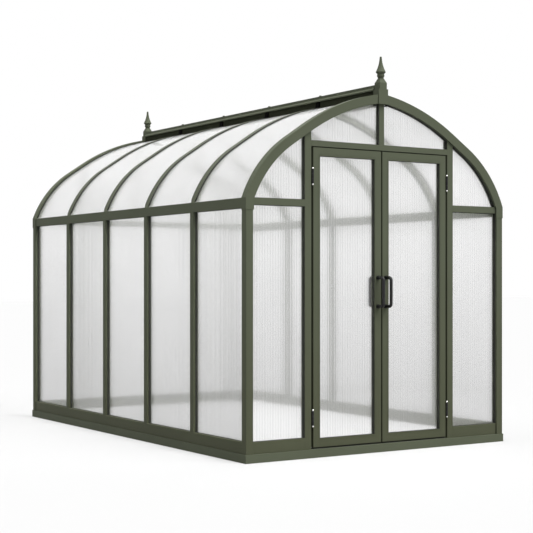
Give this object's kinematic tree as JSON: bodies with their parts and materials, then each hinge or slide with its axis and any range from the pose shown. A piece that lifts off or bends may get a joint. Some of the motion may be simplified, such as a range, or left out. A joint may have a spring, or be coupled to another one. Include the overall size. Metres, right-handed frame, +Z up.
{
  "type": "greenhouse",
  "caption": "Walk-in garden greenhouse with an arched, round-shouldered roof, twin-wall glazing in a metal frame, a ridge cap between finials, and a pair of hinged glazed front doors.",
  "frame": {"origin": "middle of the footprint on the ground, which is the middle of the four ground anchor holes", "axes": "+Z up, +Y from the front wall with the doors to the back wall, +X to the right along the front wall"},
  "size_m": [2.136, 3.4435, 2.6173],
  "materials": {
    "frame": "satin",
    "glazing": "satin",
    "hardware": "satin",
    "bright_steel": "satin"
  },
  "bodies": {
    "greenhouse_frame": {"arch_back": "frame", "arch_front": "frame", "back_post_left": "frame", "back_post_right": "frame", "bottom_rail_back": "frame", "bottom_rail_front_left": "frame", "bottom_rail_front_right": "frame", "bottom_rail_left": "frame", "bottom_rail_right": "frame", "corner_post_back_left": "frame", "corner_post_back_right": "frame", "corner_post_front_left": "frame", "corner_post_front_right": "frame", "door_jamb_left": "frame", "door_jamb_right": "frame", "door_transom": "frame", "eave_beam_left": "frame", "eave_beam_right": "frame", "finial_back": "frame", "finial_front": "frame", "glazing_back": "glazing", "glazing_bars_back": "frame", "glazing_front": "glazing", "glazing_roof_left": "glazing", "glazing_roof_right": "glazing", "glazing_wall_left": "glazing", "glazing_wall_right": "glazing", "hinge_frame_leaves": "hardware", "hinge_pins": "bright_steel", "king_mullion_front": "frame", "mid_rail_front_left": "frame", "mid_rail_front_right": "frame", "plinth_back": "frame", "plinth_front": "frame", "plinth_left": "frame", "plinth_right": "frame", "ridge_beam": "frame", "ridge_brackets": "hardware", "ridge_cap": "frame", "ridge_cap_bolts": "frame", "roof_rib_1": "frame", "roof_rib_2": "frame", "roof_rib_3": "frame", "roof_rib_4": "frame", "side_post_left_1": "frame", "side_post_left_2": "frame", "side_post_left_3": "frame", "side_post_left_4": "frame", "side_post_right_1": "frame", "side_post_right_2": "frame", "side_post_right_3": "frame", "side_post_right_4": "frame"},
    "right_door": {"right_door_frame": "frame", "right_door_glazing": "glazing", "right_door_handles": "hardware", "right_door_hinge_leaves": "hardware"},
    "left_door": {"left_door_frame": "frame", "left_door_glazing": "glazing", "left_door_handles": "hardware", "left_door_hinge_leaves": "hardware"}
  },
  "joints": [
    {"name": "right_door_hinge", "type": "hinge", "parent": "greenhouse_frame", "child": "right_door", "pos_m": [0.55805, -1.6805, 0], "axis": [0, 0, 1], "range_deg": [0, 165]},
    {"name": "left_door_hinge", "type": "hinge", "parent": "greenhouse_frame", "child": "left_door", "pos_m": [-0.55805, -1.6805, 0], "axis": [0, 0, -1], "range_deg": [0, 165]}
  ]
}
